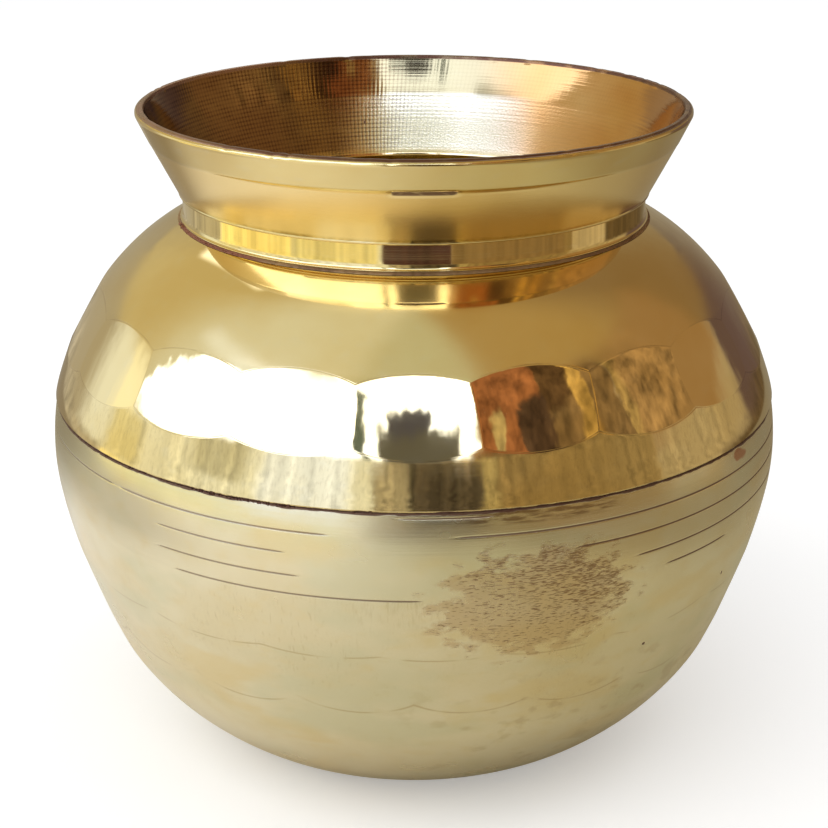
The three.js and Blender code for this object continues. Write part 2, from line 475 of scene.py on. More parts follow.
def crust_rule():
    """Grains of burnt flux scattered along an arc of a seam, added to what comes in."""
    inputs = {"Grains": "Int", "Seed": "Int"}
    inputs.update(floats("Radius", "Height", "From", "To", "Least", "Most", "Spread"))
    tree, given, send = new_rule("seam_crust", inputs)
    seed = given["Seed"]
    turn = calc("RADIANS", chance(seed, 1, given["From"], given["To"]))
    level = (given["Height"] + chance(seed, 2, -1.0, 1.0) * given["Spread"]) * MM
    radius = (given["Radius"] + chance(seed, 3, -0.2, 0.05)) * MM
    place = joined(radius * calc("SINE", turn), radius * calc("COSINE", turn) * -1.0, level)
    points = result(tree, "GeometryNodePoints", {"Count": given["Grains"], "Position": place})
    ball = result(tree, "GeometryNodeMeshIcoSphere", {"Radius": 0.5, "Subdivisions": 2})
    size = chance(seed, 4, given["Least"], given["Most"]) * MM
    shape = result(tree, "FunctionNodeRandomValue", {0: (0.6, 0.6, 0.35), 1: (1.6, 1.6, 0.8), 8: seed},
                   data_type="FLOAT_VECTOR")
    lean = joined(chance(seed, 5, -0.5, 0.5), chance(seed, 6, -0.5, 0.5), turn)
    grains = realized(result(tree, "GeometryNodeInstanceOnPoints", {
        "Points": points, "Instance": ball, "Rotation": lean, "Scale": vector_calc("SCALE", shape, size),
    }))
    shift = shake(result(tree, "GeometryNodeInputPosition"), 4000.0, 0.00012, 1.0)
    lumpy = result(tree, "GeometryNodeSetPosition", {"Geometry": grains, "Offset": shift})
    both = put(tree, "GeometryNodeJoinGeometry", {0: lumpy})
    tree.links.new(given["Geometry"].socket, both.inputs[0])
    finish_rule(Value(tree, both.outputs[0]), given["Metal"], send)
    return tree


def worked(piece, steps):
    """Runs rules on a piece, each a tree with its settings, and leaves a plain mesh."""
    for tree, settings in steps:
        rule = piece.modifiers.new(tree.name, "NODES")
        rule.node_group = tree
        for item in tree.interface.items_tree:
            if item.in_out == "INPUT" and item.name in settings:
                rule[item.identifier] = settings[item.name]
    depsgraph = bpy.context.evaluated_depsgraph_get()
    made = bpy.data.meshes.new_from_object(
        piece.evaluated_get(depsgraph), preserve_all_data_layers=True, depsgraph=depsgraph
    )
    made.name = piece.name
    piece.modifiers.clear()
    piece.data = made
    return piece


def hammer_step(row, metal, seed):
    middle, half_height, half_width, depth, turned_by, name = row
    return HAMMER, {
        "Middle": middle, "Half Height": half_height, "Half Width": half_width, "Depth": depth,
        "Turned By": turned_by, "Flats": FLATS, "Seed": seed, "Mark": name, "Metal": metal,
    }


def ring_step(height, arc, metal, width=RING_WIDTH, depth=RING_DEPTH, run_out=3.0):
    return RING, {
        "Height": float(height), "From": float(arc[0]), "To": float(arc[1]), "Width": width,
        "Depth": depth, "Run Out": run_out, "Metal": metal,
    }


def crust_step(radius, height, row, metal):
    arc, grains, (least, most), spread, seed = row
    return CRUST, {
        "Radius": float(radius), "Height": float(height), "From": float(arc[0]), "To": float(arc[1]),
        "Grains": grains, "Least": least, "Most": most, "Spread": spread, "Seed": seed, "Metal": metal,
    }


# Pieces


def lower_shell(metal):
    beside = np.array([-0.6, -0.3, -0.2, -0.12, -0.05, 0, 0.05, 0.12, 0.2, 0.3, 0.6])
    step = SEAM_HEIGHT - SEAM_GAP
    under = [(radius, 0) for radius in np.linspace(2, BASE_RADIUS - 0.8, 10)]
    # Rows of points, closer together at the edges of the flats and at the rings
    heights = np.unique(np.concatenate([
        [0.0, 0.05, 0.15, 0.3, 0.5, 0.8, 1.2, 1.7, 2.3, 3.0, 3.8],
        np.arange(4.6, 23.6, 0.6),
        np.arange(23.8, 27.4, 0.2),
        np.arange(27.8, 34.0, 0.6),
        np.arange(34.2, 36.4, 0.2),
        np.arange(36.8, 43.9, 0.6),
        *[beside + height for height, _ in RINGS],
        SEAM_SCRATCH + beside[1:-1] * 0.6,
        [46.3, 49.4, 52.7, 55.4, 56.0, 57.1, 57.25, step],
    ]))
    joint = [
        (wall_radius(step) - 0.12, step + 0.12),
        (LAP_LOW - LAP_GAP, step + 0.12),
        (LAP_HIGH - LAP_GAP, TONGUE_TOP),
        (LAP_HIGH - LAP_GAP - TONGUE_WALL, TONGUE_TOP),
        (LAP_LOW - LAP_GAP - TONGUE_WALL, step),
    ]
    inside = wall_points([54, 50, 46, 42, 38, 34, 30, 26, 22, 18, 14, 11, 8.5, 6, 4.2, 3], WALL)
    floor = [(BASE_RADIUS + 2, 1.75), (BASE_RADIUS - 4, BASE_THICKNESS), (8, BASE_THICKNESS)]
    outline = [(0, 0), *under, *wall_points(heights), *joint, *inside, *floor, (0, BASE_THICKNESS)]

    def relief(ring, turn):
        """Unevenness of hand work on the bowl, none near the base or the rings."""
        height = ring[:, 1]
        is_face = ring[:, 0] > wall_radius(height) - WALL / 2
        move = 0.07 * soft_noise(ring, turn, 16, 8.2)
        move *= (smoothstep(2, 12, height) * (1 - smoothstep(41, 46, height)))[:, None]
        return np.where((is_face & (height < step))[:, None], move, 0)

    steps = [hammer_step(row, metal, 5) for row in BOWL_FLATS]
    steps += [ring_step(height, arc, metal) for height, arcs in RINGS for arc in arcs]
    steps.append(ring_step(SEAM_SCRATCH, (-3, 11.5), metal, width=0.3, depth=0.12))
    return worked(spun("lower_bowl", outline, even_turn(475), relief), steps)


def upper_shell(metal):
    # Rows of points, closer together at the lower and upper ends of the flats
    heights = np.unique(np.concatenate([
        SEAM_HEIGHT + np.array([0.25, 0.4, 0.7, 1.1, 1.6]),
        np.arange(59.8, 64.0, 0.5),
        np.arange(64.0, 67.9, 0.12),
        np.arange(68.2, 70.8, 0.4),
        np.arange(70.9, 74.9, 0.14),
        np.arange(75.2, 84.6, 0.5),
        [NECK_SEAM[1]],
    ]))
    face = wall_points(heights)
    face[:, 0] += skirt_proud(heights)
    edge_top = seat(OPENING_RADIUS)
    edge_low = (OPENING_RADIUS, edge_top[1] - WALL / math.cos(SHOULDER_SLOPE))
    inside = wall_points([83.6, 82, 79.5, 77, 74, 71, 68, 65], WALL)
    skirt_edge = (wall_radius(SEAM_HEIGHT) + SKIRT_PROUD - 0.2, SEAM_HEIGHT)
    outline = [
        skirt_edge, *face, seat(35.4), edge_top, edge_low, *inside,
        (LAP_HIGH, TONGUE_TOP), (LAP_LOW, SEAM_HEIGHT),
    ]

    def relief(ring, turn):
        is_face = (ring[:, 0] > wall_radius(ring[:, 1]) - WALL / 2) & (ring[:, 1] < NECK_SEAM[1])
        fade = smoothstep(0, 1.2, ring[:, 1] - SEAM_HEIGHT)[:, None]
        return np.where(is_face[:, None], 0.03 * soft_noise(ring, turn, 14, 3.1) * fade, 0)

    shell = spun("shoulder_shell", outline, ridge_turn(38), relief)
    return worked(shell, [hammer_step(SHOULDER_FLATS, metal, 3)])


def arc(centre, radius, start, end, count):
    angles = np.radians(np.linspace(start, end, count))
    return [(centre[0] + radius * math.cos(a), centre[1] + radius * math.sin(a)) for a in angles]


def line(start, end, count):
    """Points after start up to end, evenly spaced."""
    t = np.linspace(0, 1, count + 1)[1:, None]
    return list(np.array(start) * (1 - t) + np.array(end) * t)


def neck_collar(metal):
    foot_edge = seat(FOOT_RADIUS, FOOT_LIFT)
    cove_foot = (FOOT_RADIUS, foot_edge[1] + 0.15)
    t = np.linspace(0, 1, 8)[1:, None]
    corner, cove_top = np.array((BAND_RADIUS, cove_foot[1])), np.array((BAND_RADIUS, BAND_FOOT))
    cove = np.array(cove_foot) * (1 - t) ** 2 + 2 * corner * t * (1 - t) + cove_top * t**2
    # The inside's corner is rounded off between these two points of its straight runs
    turning = np.array(INNER_STEP)
    above = line(INNER_STEP, LIP_INNER, 10)[6]
    below = line(INNER_STEP, THROAT, 20)[10]
    bend = bezier(above, (above + 2 * turning) / 3, (below + 2 * turning) / 3, below, 60)
    outline = [
        (SPIGOT_BORE, SPIGOT_FOOT), (SPIGOT_RADIUS, SPIGOT_FOOT), seat(SPIGOT_RADIUS, FOOT_LIFT), foot_edge,
        (FOOT_RADIUS + 0.02, foot_edge[1] + 0.05), (FOOT_RADIUS + 0.02, foot_edge[1] + 0.1), cove_foot,
        *cove, *line(cove_top, (BAND_RADIUS, 88.75), 4),
        *arc((35.9, 89.1), 0.3, -125, 30, 7),
        *line(BEAD, FLARE_TOP, 26),
        *line(FLARE_TOP, LIP_FOOT, 5),
        *line(LIP_FOOT, (42.2, 101.1), 14),
        *arc((41.75, 101.3), 0.46, 0, 85, 7),
        *line((41.75, 101.98), (41.2, LIP_TOP), 3),
        *arc((41.15, 101.75), 0.25, 90, 175, 5),
        *line(LIP_INNER, bend[0], 10), *bend[1:], *line(bend[-1], THROAT, 16),
        *line(THROAT, (SPIGOT_BORE, 85.4), 4),
        (SPIGOT_BORE, 84.2),
    ]

    def relief(ring, turn):
        """Turning ridges inside the flare, and nicks along the lip."""
        height = ring[:, 1]
        face = np.interp(height, [BEAD[1], LIP_FOOT[1], 101.2], [BEAD[0], LIP_FOOT[0], 42.2])
        inside = (ring[:, 0] < face - 0.7) & (height > 87) & (height < 101.5)
        uneven = np.array([noise.noise(Vector((h / 1.7, 0.3, 0.7))) for h in height])
        ridges = 0.0045 * (1 + uneven) * np.sin(height * 2 * math.pi / 0.56)
        ridges *= 1 - 0.8 * smoothstep(INNER_STEP[1], INNER_STEP[1] + 1, height)
        wander = 1 + 0.4 * soft_noise(ring, turn, 12, 5.5)
        rng = random.Random(23)
        nicks = np.zeros(len(turn))
        for _ in range(34):
            away = (turn - rng.uniform(0, 2 * math.pi) + math.pi) % (2 * math.pi) - math.pi
            dent = rng.uniform(0.02, 0.12) * np.exp(-((away / rng.uniform(0.006, 0.02)) ** 2))
            nicks = np.maximum(nicks, dent)
        top = (height > 101.3)[:, None]
        return np.where(inside[:, None], ridges[:, None] * wander, 0) - np.where(top, nicks, 0)

    groove = FLARE_TOP[1] - 0.1
    steps = [
        ring_step(groove, (-5, 9), metal, width=0.9, depth=0.1, run_out=1.5),
        ring_step(groove, (9, 28), metal, width=0.3, depth=0.04, run_out=6.0),
        ring_step(LIP_SCRATCH, (4, 34), metal, width=0.2, depth=0.02),
    ]
    return worked(spun("neck_and_lip", outline, even_turn(480), relief), steps)


def neck_filler(metal):
    ring = [
        seat(34.7, 0.05), seat(35.6, 0.05), seat(36.3, 0.05), seat(36.4, 0.05),
        seat(36.35, 0.12), seat(36.15, 0.2), seat(35.9, 0.2), seat(34.7, 0.2),
    ]
    steps = [crust_step(*seat(36.25, 0.1), row, metal) for row in NECK_CRUST]
    return worked(spun("neck_braze_seam", ring, even_turn(360)), steps)


def belly_filler(metal):
    rim = wall_radius(SEAM_HEIGHT)
    outer = rim - 0.12
    low, top = SEAM_HEIGHT - SEAM_GAP + 0.05, SEAM_HEIGHT - 0.05
    ring = [
        (LAP_LOW - LAP_GAP + 0.05, low + 0.1), (outer - 0.4, low + 0.1), (outer - 0.2, low), (outer, low),
        (outer, top), (LAP_LOW - 0.05, top), (LAP_HIGH - 0.05, 61.3), (LAP_HIGH - LAP_GAP + 0.05, 61.3),
    ]
    steps = [crust_step(rim, BELLY_CRUST_HEIGHT, row, metal) for row in BELLY_CRUST]
    return worked(spun("belly_braze_seam", ring, even_turn(360)), steps)


# Effects that several materials use


def object_place(tree):
    return result(tree, "ShaderNodeTexCoord", output="Object")


def use(tree, group, **values):
    """Output of a group placed in a material, with its own values."""
    return result(tree, "ShaderNodeGroup", values, node_tree=group)


def grain(tree, round_it, up_it, shift, detail=3.0):
    return use(tree, GRAIN, Round=round_it, Up=up_it, Shift=shift, Detail=detail)


def place_group():
    """Where a point is on the pot: its turn from the front in degrees, its height and radius."""
    tree, _, send = new_effect("place_on_pot", {}, floats("Turn", "Level", "Radius"))
    x, y, z = split(object_place(tree))
    send("Turn", bearing(x, y))
    send("Level", z / MM)
    send("Radius", length(x, y) / MM)
    return tree


def grain_group():
    """Noise drawn out: Round and Up are how fine it is round the pot and up it, per millimetre."""
    inputs = floats("Round", "Up", "Shift", "Detail")
    tree, given, send = new_effect("drawn_out_grain", inputs, floats("Grain"))
    scale = joined(given["Round"], given["Round"], given["Up"])
    in_mm = vector_calc("SCALE", vector_calc("MULTIPLY", object_place(tree), scale), 1 / MM)
    shifted = vector_calc("ADD", in_mm, given["Shift"])
    send("Grain", texture(shifted, Scale=1.0, Detail=given["Detail"]))
    return tree


def pits_group():
    """Scattered casting and scratch pits: 1 in a pit. Spacing and Size are in millimetres."""
    tree, given, send = new_effect("pits", floats("Spacing", "Size"), floats("Pits"))
    place = object_place(tree)
    shaken = vector_calc("ADD", place, shake(place, 2600.0, 0.0006, 2.0))
    per_metre = calc("DIVIDE", 1 / MM, given["Spacing"])
    cells = put(tree, "ShaderNodeTexVoronoi", {"Vector": shaken, "Scale": per_metre}).outputs
    whose = Value(tree, cells["Position"])
    chosen = result(tree, "ShaderNodeTexWhiteNoise", {"Vector": whose}, output="Value")
    size = given["Size"] / given["Spacing"] * remap(chosen, 0.6, 1.0)
    send("Pits", calc("LESS_THAN", Value(tree, cells["Distance"]), size))
    return tree


def dashes_group():
    """Short fine scratches: 1 in a scratch. Round and Up are as for grain, Amount is 0 to 1."""
    inputs = floats("Round", "Up", "Shift", "Amount")
    tree, given, send = new_effect("scratches", inputs, floats("Scratches"))
    fine = grain(tree, given["Round"], given["Up"], given["Shift"], 1.5)
    edge = 0.76 - given["Amount"] * 0.2
    send("Scratches", remap(fine, edge, edge + 0.06))
    return tree


def pot_place(tree):
    return results(tree, "ShaderNodeGroup", node_tree=PLACE)


def mark(tree, name):
    """Value that a rule kept on the mesh."""
    return result(tree, "ShaderNodeAttribute", output="Fac", attribute_name=name)


def plain_tree(owner):
    owner.use_nodes = True
    owner.node_tree.nodes.clear()
    return owner.node_tree


def new_material(name):
    material = bpy.data.materials.new(name)
    return material, plain_tree(material)


def dress_metal(colour, rough, dirt, height, distance):
    """Joins up a metal: where dirt is 1 the surface is only partly metal. distance is in millimetres."""
    tree = colour.tree
    metallic = remap(dirt, 0.0, 1.0, 1.0, 0.6)
    normal = result(tree, "ShaderNodeBump", {"Height": height, "Strength": 1.0, "Distance": distance * MM})
    sockets = {"Base Color": colour, "Roughness": rough, "Metallic": metallic, "Normal": normal}
    shader = result(tree, "ShaderNodeBsdfPrincipled", sockets)
    put(tree, "ShaderNodeOutputMaterial", {"Surface": shader})


# Materials

PALE_BRASS = (0.80, 0.72, 0.50, 1)
WARM_BRASS = (0.76, 0.66, 0.42, 1)
GOLD_BRASS = (0.80, 0.66, 0.36, 1)
DEEP_BRASS = (0.76, 0.60, 0.29, 1)
NECK_GOLD = (0.80, 0.65, 0.31, 1)
NECK_DEEP = (0.76, 0.58, 0.25, 1)
FLARE_GOLD = (0.98, 0.76, 0.37, 1)
# Painted reflection inside the bore: dark on its left, amber on its right
BORE_DARK_REFLECTION = (0.30, 0.19, 0.09, 1)
BORE_AMBER_REFLECTION = (0.52, 0.27, 0.09, 1)
LIP_GRIME = (0.13, 0.06, 0.035, 1)
LIP_BROWN = (0.32, 0.18, 0.11, 1)
RING_DIRT = (0.16, 0.085, 0.045, 1)
# Brown of scratches and strokes, also used as painted shade along the edges of the flats
SCRATCH_AND_EDGE_SHADE = (0.52, 0.40, 0.21, 1)
# Painted reflection inside the bore: pale in its middle, dull next to the lip
BORE_PALE_REFLECTION = (0.92, 0.88, 0.72, 1)
BORE_DULL_REFLECTION = (0.34, 0.30, 0.17, 1)
GREENISH = (0.66, 0.63, 0.42, 1)
PATCH_BROWN = (0.54, 0.36, 0.17, 1)
SOOT = (0.22, 0.11, 0.045, 1)
BURNT = (0.10, 0.04, 0.02, 1)
COPPER = (0.52, 0.20, 0.09, 1)
DARK_CRUST = (0.15, 0.07, 0.055, 1)
BROWN_CRUST = (0.26, 0.17, 0.09, 1)
RED_CRUST = (0.30, 0.12, 0.07, 1)
FILLER = (0.36, 0.23, 0.11, 1)

# Ovals on the bowl: middle in degrees and millimetres, half width, half height
PATCH = (17.5, 43.2, 15.5, 8.8)
COPPER_SPOT = (57.0, 56.3, 2.0, 0.95)
# Edges of the rows of flats, grooved and with painted shade along them: row, shift of its grain, none
# above, whole below
CREASES = (("upper_row", 51.0, 37.0, 36.4), ("lower_row", 57.0, 28.0, 27.4))
# Heights at which the metal beside the seam is burnt: the bowl's above the first two, and the
# skirt's below the last
BURNT_FROM = 57.2
BURNT_FULLY = 57.36
BURNT_UP_TO = 57.74
# Rows of cross-hatching inside the neck are this many millimetres apart
HATCH_PITCH = 0.62


def in_oval(turn, level, oval):
    """How far a point is across and up from an oval's middle, 1 on its edge."""
    return (turn - oval[0]) / oval[2], (level - oval[1]) / oval[3]


def satin_brass():
    material, tree = new_material("satin_brass")
    turn, level, _ = pot_place(tree)
    cloud = grain(tree, 0.06, 0.07, 3.0)
    fine = grain(tree, 0.35, 0.6, 13.0)
    rings = grain(tree, 0.03, 3.2, 9.0, 2.0)
    strokes = grain(tree, 3.0, 0.07, 21.0, 2.0)
    tarnish = grain(tree, 0.045, 0.1, 101.0)
    golden = grain(tree, 0.05, 0.12, 111.0)
    buffed = remap(level, 45.4, 44.6)
    colour = blend(remap(cloud, 0.36, 0.66), PALE_BRASS, WARM_BRASS)
    colour = blend(remap(fine, 0.5, 0.75, 0.0, 0.25), colour, DEEP_BRASS)
    colour = blend(remap(tarnish, 0.46, 0.64, 0.0, 0.6), colour, GREENISH)
    colour = blend(remap(golden, 0.5, 0.66, 0.0, 0.5), colour, DEEP_BRASS)
    dark_strokes = remap(strokes, 0.58, 0.72) * buffed * remap(cloud, 0.4, 0.6) * 0.3
    colour = blend(dark_strokes, colour, SCRATCH_AND_EDGE_SHADE)
    drips = remap(grain(tree, 2.6, 0.04, 25.0, 2.0), 0.5, 0.7)
    drips = drips * between(turn, -9.0, 5.0, 3.0) * remap(level, 38.0, 44.0)
    colour = blend(drips * buffed * 0.3, colour, SCRATCH_AND_EDGE_SHADE)

    stains = remap(grain(tree, 0.22, 0.34, 91.0, 4.0), 0.55, 0.68)
    low_right = between(level, 5.0, 30.0, 5.0) * between(turn, 0.0, 75.0, 12.0)
    colour = blend(stains * low_right * 0.4, colour, SCRATCH_AND_EDGE_SHADE)

    # Edges of the two rows of flats show as broken faint lines: shallow grooves with painted shade along
    # them
    crease_grooves_and_shade = []
    for row, shift, none_above, whole_below in CREASES:
        along_edge = remap(calc("ABSOLUTE", mark(tree, row)), 0.0, 0.07, 1.0, 0.0)
        broken = remap(grain(tree, 0.16, 0.16, shift, 2.0), 0.36, 0.56)
        crease_grooves_and_shade.append(along_edge * broken * remap(level, none_above, whole_below))
    crease_grooves_and_shade = largest(*crease_grooves_and_shade)
    colour = blend(crease_grooves_and_shade * 0.7, colour, SCRATCH_AND_EDGE_SHADE)

    # Oval patch of short scratches, right of the front
    across, rise = in_oval(turn, level, PATCH)
    patch = remap(length(across, rise) + remap(fine, 0.3, 0.7, -0.22, 0.22), 1.05, 0.75)
    worst = remap(across + rise, -0.6, 1.1, 0.8, 1.4)
    dashes = use(tree, DASHES, Round=1.0, Up=7.5, Shift=33.0, Amount=worst) * patch
    colour = blend(patch * 0.5, colour, PATCH_BROWN)
    colour = blend(dashes * 0.62, colour, SOOT)

    # Soot and scratches under the seam, and a spot where copper shows
    smear = between(turn, 7.0, 29.0, 3.0) * between(level, 55.6, 58.0, 0.5)
    streaky = remap(grain(tree, 0.3, 2.4, 61.0), 0.38, 0.62)
    colour = blend(smear * streaky * 0.7, colour, SOOT)
    across, rise = in_oval(turn, level, COPPER_SPOT)
    spot = remap(across * across + rise * rise + remap(fine, 0.3, 0.7, -0.5, 0.5), 1.1, 0.5)
    colour = blend(spot * 0.8, colour, COPPER)

    cut = remap(mark(tree, "cut"), 0.08, 0.4) * remap(turn, -30.0, 35.0, 0.72, 1.0)
    colour = blend(cut * 0.96, colour, RING_DIRT)
    pits = use(tree, PITS, Spacing=6.5, Size=0.36)
    edge = remap(level + remap(fine, 0.3, 0.7, -0.1, 0.1), BURNT_FROM, BURNT_FULLY)
    burnt = largest(edge, pits)
    colour = blend(burnt * 0.95, colour, BURNT)
    dirt = largest(burnt, cut * 0.9)
    rough = remap(cloud, 0.3, 0.7, 0.2, 0.28) + patch * 0.06 + largest(dirt, dashes) * 0.3
    height = rings * 0.35 + strokes * buffed * 0.25 - largest(dashes, pits) * 1.2 - crease_grooves_and_shade * 0.4
    dress_metal(colour, rough, dirt * 0.8, height, 0.02)
    return material


def polished_brass():
    material, tree = new_material("polished_brass")
    turn, level, _ = pot_place(tree)
    cloud = grain(tree, 0.06, 0.08, 5.0)
    fine = grain(tree, 0.4, 0.5, 15.0)
    lines = grain(tree, 0.12, 22.0, 31.0, 1.0)
    ripple = grain(tree, 0.26, 0.3, 37.0, 2.0)
    flat = remap(mark(tree, "flat"), 0.0, 0.03)
    not_flat = 1.0 - flat
    band = not_flat * remap(level, 69.0, 68.0)
    upper = not_flat * between(level, 74.0, 81.4, 0.5)
    colour = blend(remap(cloud, 0.36, 0.66), GOLD_BRASS, DEEP_BRASS)
    colour = blend(remap(fine, 0.52, 0.8, 0.0, 0.3), colour, WARM_BRASS)

    # File strokes up and down the band
    strokes = grain(tree, 2.6, 0.03, 63.0)
    colour = blend(remap(strokes, 0.46, 0.74) * band * 0.3, colour, SCRATCH_AND_EDGE_SHADE)

    # Edges of the flats: a shallow groove, with painted shade along it
    rim = remap(calc("ABSOLUTE", mark(tree, "flat") + 0.015), 0.0, 0.045, 1.0, 0.0)
    rim = rim * remap(grain(tree, 0.25, 0.25, 77.0, 2.0), 0.36, 0.6, 0.15, 1.0)
    colour = blend(rim * 0.6, colour, SCRATCH_AND_EDGE_SHADE)

    left_side = between(turn, -66.0, -14.0, 6.0)
    above_seam = level + remap(fine, 0.3, 0.7, -0.16, 0.16) - (BURNT_UP_TO + left_side * 0.05)
    pits = use(tree, PITS, Spacing=9.0, Size=0.3)
    dirt = largest(remap(above_seam, 0.06, -0.05), pits)
    colour = blend(dirt * 0.95, colour, BURNT)
    rough = remap(cloud, 0.3, 0.7, 0.03, 0.05) + band * 0.03 + upper * 0.13 + dirt * 0.4
    height = lines * remap(band, 0.0, 1.0, 0.0, 0.05) + ripple * flat * 0.5 - pits * 0.5 - rim * 0.3
    dress_metal(colour, rough, dirt * 0.9, height, 0.016)
    return material


def turned_brass():
    material, tree = new_material("turned_brass")
    turn, level, radius = pot_place(tree)
    cloud = grain(tree, 0.05, 0.08, 15.0)
    fine = grain(tree, 0.3, 0.8, 17.0)
    lines = grain(tree, 0.02, 4.2, 2.0, 2.0)
    outer = BEAD[0] + (level - BEAD[1]) * FLARE_PER_MM
    bore = remap(outer - radius, 0.55, 0.75) * remap(level, 86.0, 88.0)
    outer_face = 1.0 - bore
    colour = blend(remap(cloud, 0.36, 0.66), NECK_GOLD, NECK_DEEP)
    colour = blend(remap(fine, 0.52, 0.8, 0.0, 0.3), colour, WARM_BRASS)

    flare = outer_face * between(level, 89.6, 97.2, 0.3)
    lip_band = outer_face * remap(level, 97.2, 97.5)
    colour = blend(flare * 0.8, colour, FLARE_GOLD)

    # Painted reflection inside the bore, dark on the left and amber on the right
    across = radius * calc("SINE", calc("RADIANS", turn))
    cloudy = remap(cloud, 0.3, 0.7, 0.8, 1.0)
    colour = blend(bore * remap(across, -4.0, -14.0) * cloudy, colour, BORE_DARK_REFLECTION)
    colour = blend(bore * remap(across, 1.0, 17.0) * cloudy, colour, BORE_AMBER_REFLECTION)

    # Painted reflection inside the bore, pale in the middle and duller next to the lip
    pale_reflection = bore * between(across, -8.0, 16.0, 6.0) * 0.85
    colour = blend(pale_reflection, colour, blend(remap(level, 95.4, 96.4), BORE_PALE_REFLECTION, BORE_DULL_REFLECTION))

    # Cross-hatching that the tool's chatter left in it
    chatter = calc("SINE", turn * 6.1 + level * 0.9)
    struck = remap(grain(tree, 0.07, 0.12, 44.0, 1.0), 0.42, 0.6)
    weft = remap(calc("SINE", level * (2 * math.pi / HATCH_PITCH)), -0.1, 0.8)
    weave = weft + remap(chatter, -0.1, 0.8)
    left_half = remap(across, 6.0, -10.0, 0.04, 0.42)
    colour = blend(weave * left_half * bore * remap(fine, 0.3, 0.6, 0.4, 1.0), colour, BURNT)

    # Lip's inner edge, dark and nicked, and dull and brown all over at the left
    left_top = between(turn, -150.0, -45.0, 14.0)
    crest = largest(remap(level, 101.6, 101.8, 0.0, 0.95), bore * remap(level, 101.35, 101.55))
    crest = crest * remap(fine, 0.35, 0.55, 0.7, 1.0)
    colour = blend(crest, colour, blend(left_top, LIP_GRIME, LIP_BROWN))

    cut = remap(mark(tree, "cut"), 0.15, 0.5)
    gritty = remap(grain(tree, 0.5, 1.6, 81.0, 2.0), 0.3, 0.5, 0.55, 0.95)
    pits = use(tree, PITS, Spacing=10.0, Size=0.3)
    marks = largest(cut * gritty, pits)
    colour = blend(marks, colour, RING_DIRT)
    dirt = largest(marks, crest * 0.6)
    low_bore = bore * remap(level, 96.0, 95.2)
    rough = remap(cloud, 0.3, 0.7, 0.045, 0.07) + bore * 0.03 + flare * 0.11 + lip_band * 0.08
    rough = rough + largest(crest, dirt) * 0.25 + low_bore * 0.1
    speckle = grain(tree, 3.2, 3.2, 71.0, 2.0)
    height = lines * remap(bore, 0.0, 1.0, 0.1, 0.6) + speckle * low_bore * 1.1
    height = height + chatter * struck * bore * remap(across, 12.0, -6.0, 0.03, 0.2) - pits * 0.8
    dress_metal(colour, rough, dirt * 0.8, height, 0.016)
    return material


def braze_metal():
    material, tree = new_material("braze_metal")
    crust = grain(tree, 1.4, 1.4, 41.0)
    cloud = grain(tree, 0.12, 0.12, 43.0, 1.0)
    turn, level, _ = pot_place(tree)
    colour = blend(remap(crust, 0.35, 0.65), DARK_CRUST, BURNT)
    colour = blend(remap(cloud, 0.52, 0.7, 0.0, 0.35), colour, BROWN_CRUST)

    # Filler under the neck is cleaner, but for a red crust at its left
    at_neck = remap(level, 70.0, 75.0)
    red = between(turn, -78.0, -36.0, 5.0)
    clean = at_neck * (1.0 - red)
    colour = blend(at_neck * red * 0.8, colour, RED_CRUST)
    colour = blend(clean * remap(cloud, 0.4, 0.6, 0.5, 0.95), colour, FILLER)
    dirt = remap(crust, 0.3, 0.6, 0.85, 1.0) * remap(clean, 0.0, 1.0, 1.0, 0.35)
    dress_metal(colour, remap(crust, 0.3, 0.7, 0.55, 0.8), dirt, crust, 0.05)
    return material


# Camera, light and floor

# What stands round the pot for the metal to mirror, painted one over the other: from and to in
# degrees from the front, lowest and highest in degrees above level, softness, colour
ROOM_WALL = (0.60, 0.50, 0.36, 1)
WALL_THINGS = (
    ("left_wall", -128, -8, -90, 22, 2, (1.05, 1.1, 1.1)),
    ("far_left", -190, -122, -90, 24, 6, (0.5, 0.45, 0.35)),
    ("ochre_cloth", -106, -90, -5, 8, 3, (0.95, 0.9, 0.6)),
    ("curtain", -70, -52, 8, 22, 2.5, (0.7, 0.7, 0.6)),
    ("bright_pane", -47, -19, -5, 22, 2.5, (1.15, 1.3, 1.7)),
    ("right_wall", 18, 78, -90, 26, 0.8, (0.35, 0.25, 0.12)),
    ("cream_post", 19.5, 25, -6, 22, 0.7, (0.5, 0.4, 0.2)),
    ("gold_cloth", 78, 122, -5, 9, 2.5, (0.5, 0.4, 0.25)),
    ("far_right", 122, 190, -90, 20, 3, (0.15, 0.1, 0.1)),
    ("tan_floor", -190, -104, -90, -5, 2, (0.55, 0.5, 0.4)),
    ("gold_sheet", -104, -57, -90, -5, 2, (1.4, 1.25, 0.6)),
    ("pale_floor", -57, -16, -90, -5, 2, (1.05, 1, 0.6)),
    ("far_dark_floor", -14, 17, -12.5, -5, 1, (0.1, 0.05, 0.05)),
    ("far_brown_floor", 17, 74, -12.5, -5, 1, (0.3, 0.2, 0.1)),
    ("near_brown_floor", -14, 102, -90, -12.5, 1, (0.5, 0.3, 0.1)),
    ("far_floor", 102, 190, -90, -5, 3, (0.15, 0.1, 0.05)),
)
WINDOW = (2.6, 2.9, 3.9)
